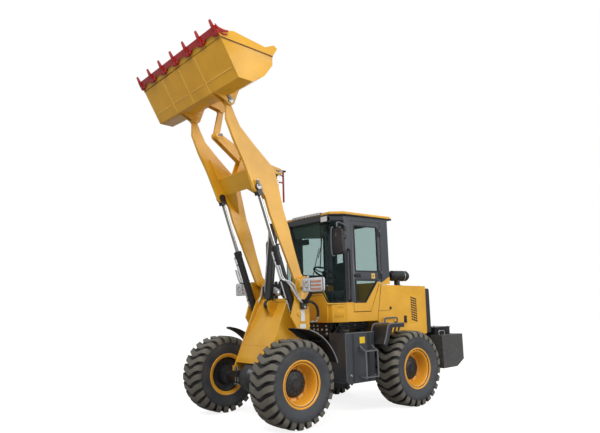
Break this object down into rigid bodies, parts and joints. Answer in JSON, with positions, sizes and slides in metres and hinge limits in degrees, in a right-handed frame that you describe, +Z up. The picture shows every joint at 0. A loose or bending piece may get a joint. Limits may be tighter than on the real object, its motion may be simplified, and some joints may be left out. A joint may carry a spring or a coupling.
{
  "type": "articulated wheel loader",
  "caption": "Compact articulated wheel loader with enclosed cab, raised lift arms, Z-bar bucket linkage, rear engine hood and counterweight.",
  "frame": {"origin": "on the ground, under the middle of the overall box", "axes": "+X forward to the bucket, +Y to the machine's left, +Z up"},
  "size_m": [4.897, 2.168, 4.8558],
  "materials": {
    "paint": "satin orange-yellow paint",
    "rim_paint": "satin paint",
    "dark_paint": "satin black and graphite paint",
    "chrome": "polished",
    "steel": "machined",
    "iron": "rough",
    "red_paint": "satin dark red",
    "plastic": "matt",
    "glass": "tinted",
    "tyre": "matt"
  },
  "bodies": {
    "rear_frame": {"chassis": "dark_paint", "rear_axle": "dark_paint", "counterweight": "dark_paint", "tow_pin": "steel", "battery_box": "dark_paint", "engine_hood": "paint", "engine_block": "iron", "rear_grille": "dark_paint", "pre_cleaner": "plastic", "cab_base": "paint", "cab_frame": "dark_paint", "cab_roof": "paint", "cab_glass": "glass", "seat": "plastic", "steering_column": "plastic", "fuel_tank": "dark_paint", "hydraulic_tank": "dark_paint", "side_steps": "dark_paint", "rear_fenders": "dark_paint", "grab_bars": "dark_paint", "mirrors": "plastic", "work_lights": "plastic"},
    "front_frame": {"front_frame": "paint", "front_axle": "dark_paint", "front_fenders": "dark_paint", "headlamps": "dark_paint"},
    "boom": {"boom_arm_left": "paint", "boom_arm_right": "paint", "boom_cross_member": "paint"},
    "bucket": {"bucket": "paint", "tooth_bar": "red_paint"},
    "bell_crank": {"bell_crank": "paint"},
    "bucket_link": {"bucket_link": "paint"},
    "lift_barrel_left": {"lift_barrel_left": "dark_paint"},
    "lift_barrel_right": {"lift_barrel_right": "dark_paint"},
    "lift_rod_left": {"lift_rod_left": "chrome"},
    "lift_rod_right": {"lift_rod_right": "chrome"},
    "tilt_barrel": {"tilt_barrel": "dark_paint"},
    "tilt_rod": {"tilt_rod": "chrome", "level_indicator": "red_paint"},
    "cab_door_left": {"door_left": "dark_paint", "door_glass_left": "glass"},
    "cab_door_right": {"door_right": "dark_paint", "door_glass_right": "glass"},
    "wheel_front_left": {"tyre_front_left": "tyre", "rim_front_left": "rim_paint", "hub_front_left": "dark_paint"},
    "wheel_front_right": {"tyre_front_right": "tyre", "rim_front_right": "rim_paint", "hub_front_right": "dark_paint"},
    "wheel_rear_left": {"tyre_rear_left": "tyre", "rim_rear_left": "rim_paint", "hub_rear_left": "dark_paint"},
    "wheel_rear_right": {"tyre_rear_right": "tyre", "rim_rear_right": "rim_paint", "hub_rear_right": "dark_paint"}
  },
  "joints": [
    {"name": "steer", "type": "hinge", "parent": "rear_frame", "child": "front_frame", "pos_m": [0.09, 0, 0.8], "axis": [0, 0, 1], "range_deg": [-35, 35]},
    {"name": "lift", "type": "hinge", "parent": "front_frame", "child": "boom", "pos_m": [0.681, 0, 1.816], "axis": [0, -1, 0], "range_deg": [-100, 0]},
    {"name": "bucket_tilt", "type": "hinge", "parent": "boom", "child": "bucket", "pos_m": [1.817, 0, 4.157], "axis": [0, 1, 0], "range_deg": [-75, 90]},
    {"name": "bell_crank_pivot", "type": "hinge", "parent": "boom", "child": "bell_crank", "pos_m": [1.315, 0, 3.537], "axis": [0, 1, 0], "range_deg": [-20.5, 17.2]},
    {"name": "bucket_link_pivot", "type": "hinge", "parent": "bell_crank", "child": "bucket_link", "pos_m": [1.742, 0, 3.812], "axis": [0, 1, 0], "range_deg": [-41, 50]},
    {"name": "lift_barrel_left_pivot", "type": "hinge", "parent": "front_frame", "child": "lift_barrel_left", "pos_m": [0.802, 0.4555, 1.372], "axis": [0, -1, 0], "range_deg": [-97, 0.5]},
    {"name": "lift_rod_left_slide", "type": "slide", "parent": "lift_barrel_left", "child": "lift_rod_left", "axis": [0.3296, 0, 0.9441], "range_m": [-0.705, 0.002]},
    {"name": "lift_barrel_right_pivot", "type": "hinge", "parent": "front_frame", "child": "lift_barrel_right", "pos_m": [0.802, -0.4555, 1.372], "axis": [0, -1, 0], "range_deg": [-97, 0.5]},
    {"name": "lift_rod_right_slide", "type": "slide", "parent": "lift_barrel_right", "child": "lift_rod_right", "axis": [0.3296, 0, 0.9441], "range_m": [-0.705, 0.002]},
    {"name": "tilt_barrel_pivot", "type": "hinge", "parent": "front_frame", "child": "tilt_barrel", "pos_m": [0.91, 0, 1.508], "axis": [0, -1, 0], "range_deg": [-96.5, 0.5]},
    {"name": "tilt_rod_slide", "type": "slide", "parent": "tilt_barrel", "child": "tilt_rod", "axis": [-0.1147, 0, 0.9934], "range_m": [-0.58, 0.002]},
    {"name": "wheel_front_left_spin", "type": "hinge", "parent": "front_frame", "child": "wheel_front_left", "pos_m": [1.17, 0.845, 0.537], "axis": [0, 1, 0], "continuous": true},
    {"name": "wheel_front_right_spin", "type": "hinge", "parent": "front_frame", "child": "wheel_front_right", "pos_m": [1.17, -0.845, 0.537], "axis": [0, 1, 0], "continuous": true},
    {"name": "wheel_rear_left_spin", "type": "hinge", "parent": "rear_frame", "child": "wheel_rear_left", "pos_m": [-0.99, 0.845, 0.537], "axis": [0, 1, 0], "continuous": true},
    {"name": "wheel_rear_right_spin", "type": "hinge", "parent": "rear_frame", "child": "wheel_rear_right", "pos_m": [-0.99, -0.845, 0.537], "axis": [0, 1, 0], "continuous": true},
    {"name": "cab_door_left_hinge", "type": "hinge", "parent": "rear_frame", "child": "cab_door_left", "pos_m": [-0.776, 0.626, 2], "axis": [0, 0, 1], "range_deg": [0, 80]},
    {"name": "cab_door_right_hinge", "type": "hinge", "parent": "rear_frame", "child": "cab_door_right", "pos_m": [-0.776, -0.626, 2], "axis": [0, 0, -1], "range_deg": [0, 80]}
  ],
  "couplings": [
    {"joint": "bell_crank_pivot", "follows": "bucket_tilt", "ratio": -0.222},
    {"joint": "bucket_link_pivot", "follows": "bucket_tilt", "ratio": 0.54},
    {"joint": "lift_barrel_left_pivot", "follows": "lift", "ratio": 0.964},
    {"joint": "lift_rod_left_slide", "follows": "lift", "m_per_rad": 0.401},
    {"joint": "lift_barrel_right_pivot", "follows": "lift", "ratio": 0.964},
    {"joint": "lift_rod_right_slide", "follows": "lift", "m_per_rad": 0.401},
    {"joint": "tilt_barrel_pivot", "follows": "lift", "ratio": 0.9575},
    {"joint": "tilt_rod_slide", "follows": "lift", "m_per_rad": 0.33}
  ]
}
